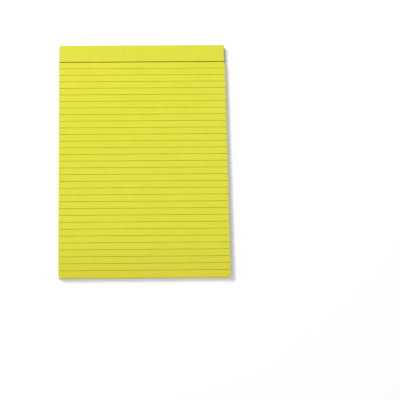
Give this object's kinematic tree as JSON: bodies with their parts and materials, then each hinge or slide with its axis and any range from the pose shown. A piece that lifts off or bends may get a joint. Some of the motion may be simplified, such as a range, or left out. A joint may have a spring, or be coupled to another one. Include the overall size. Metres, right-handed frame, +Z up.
{
  "type": "legal pad",
  "caption": "Ruled writing pad: a block of yellow leaves gummed at the head onto a stiff chipboard back, with a heavy rule under a blank head margin.",
  "frame": {"origin": "on the surface the pad lies on, under the middle of its outline", "axes": "+Z up from the board through the leaves, +Y from the foot toward the gummed head, +X across the page to the reader's right"},
  "size_m": [0.216, 0.3304, 0.0079],
  "materials": {
    "board": "plain grey-brown chipboard",
    "leaves": "uncoated yellow writing paper",
    "gum": "brushed off-white padding gum",
    "heavy_ink": "heavy printed rule in dark olive ink",
    "fine_ink": "fine printed rules in olive ink"
  },
  "bodies": {
    "root": {"backing_board": "board", "leaf_block": "leaves", "head_gum": "gum", "head_rule": "heavy_ink", "ruled_lines": "fine_ink"}
  },
  "joints": []
}
